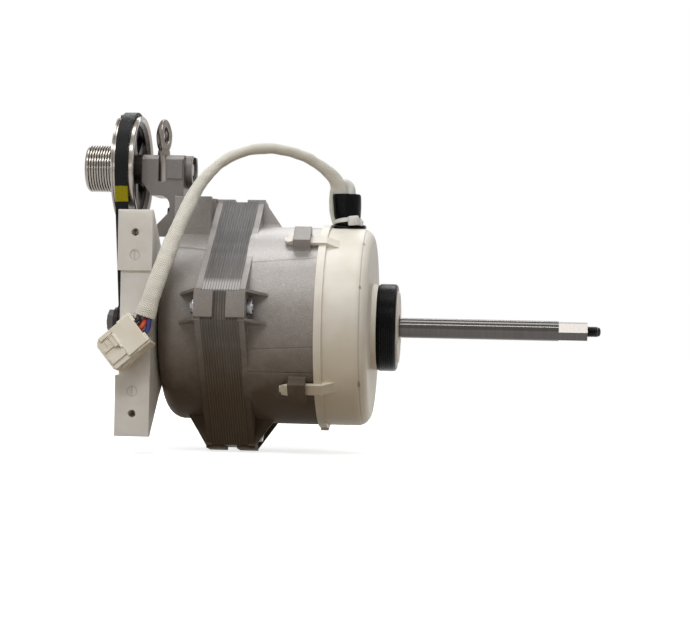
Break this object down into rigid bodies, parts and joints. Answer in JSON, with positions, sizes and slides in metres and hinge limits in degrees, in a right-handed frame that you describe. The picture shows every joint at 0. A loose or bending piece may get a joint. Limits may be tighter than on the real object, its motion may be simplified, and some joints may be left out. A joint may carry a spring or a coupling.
{
  "type": "dryer motor",
  "caption": "Tumble dryer motor with a long fan shaft, and a belt-driven countershaft that carries a ribbed drum pulley.",
  "frame": {"origin": "on the motor axis at the middle of the front rubber ring", "axes": "+X along the motor shaft towards the long fan end, -Y out of the foot face, +Z towards the countershaft"},
  "size_m": [0.3117, 0.1552, 0.2037],
  "materials": {
    "shaft_steel": "ground bright steel",
    "core_steel": "stamped electrical steel",
    "magnet": "moulded ferrite, matt",
    "small_pulley_steel": "dark turned steel",
    "fastener_steel": "zinc plated",
    "bearing_steel": "polished",
    "laminations": "stacked sheet edges",
    "winding": null,
    "insulator": "moulded",
    "cast_aluminium": "sand-textured casting",
    "cover_plastic": "cream moulded plastic, satin",
    "mount_rubber": "moulded rubber, satin",
    "board": "coated board",
    "board_parts": "moulded parts",
    "foot_plastic": "white moulded plastic, satin",
    "bracket_aluminium": "sand-textured casting, darker",
    "turned_steel": "turned bright steel",
    "pulley_metal": "turned rim on a cast wheel",
    "belt_rubber": "flat back of a rubber belt, matt",
    "eye_steel": "forged steel, dull",
    "gland_rubber": "glossy black sleeve",
    "tie_plastic": "nylon",
    "sleeve_fabric": "braided sleeve",
    "wire_plastic": "wire insulation, four colours",
    "connector_plastic": "cream moulded plastic",
    "terminal_brass": "plated"
  },
  "bodies": {
    "root": {"front_bearing_outer": "bearing_steel", "front_bearing_balls": "bearing_steel", "rear_bearing_outer": "bearing_steel", "rear_bearing_balls": "bearing_steel", "wave_washer": "fastener_steel", "stator_core": "laminations", "stator_windings": "winding", "insulator_front": "insulator", "insulator_rear": "insulator", "front_end_shield": "cast_aluminium", "rear_end_shield": "cast_aluminium", "through_screws": "fastener_steel", "screw_nuts": "fastener_steel", "front_cover": "cover_plastic", "front_mount_ring": "mount_rubber", "circuit_board": "board", "board_parts": "board_parts", "mounting_block": "foot_plastic", "rear_mount_ring": "mount_rubber", "pulley_bracket": "bracket_aluminium", "bracket_screws": "fastener_steel", "countershaft_bearings": "bearing_steel", "countershaft_balls": "bearing_steel", "drive_belt": "belt_rubber", "eye_pin": "fastener_steel", "cable_gland": "gland_rubber", "cable_tie": "tie_plastic", "side_lead": "sleeve_fabric", "spare_sleeve": "sleeve_fabric", "harness_sleeve": "sleeve_fabric", "harness_wires": "wire_plastic", "connector_housing": "connector_plastic", "connector_terminals": "terminal_brass"},
    "rotor": {"motor_shaft": "shaft_steel", "rotor_core": "core_steel", "rotor_magnets": "magnet", "motor_pulley": "small_pulley_steel", "pulley_nut": "fastener_steel", "front_bearing_inner": "bearing_steel", "rear_bearing_inner": "bearing_steel"},
    "countershaft": {"countershaft": "shaft_steel", "drum_pulley": "turned_steel", "large_pulley": "pulley_metal", "countershaft_races": "bearing_steel", "countershaft_circlip": "fastener_steel"},
    "eye": {"tension_eye": "eye_steel"}
  },
  "joints": [
    {"name": "motor_spin", "type": "hinge", "parent": "root", "child": "rotor", "pos_m": [0, 0, 0], "axis": [1, 0, 0], "continuous": true},
    {"name": "countershaft_spin", "type": "hinge", "parent": "root", "child": "countershaft", "pos_m": [-0.16, 0, 0.0933], "axis": [1, 0, 0], "continuous": true},
    {"name": "eye_swing", "type": "hinge", "parent": "root", "child": "eye", "pos_m": [-0.137, -0.0097, 0.082], "axis": [0, 1, 0], "range_deg": [-12, 12]}
  ],
  "couplings": [
    {"joint": "countershaft_spin", "follows": "motor_spin", "ratio": 0.3383}
  ]
}
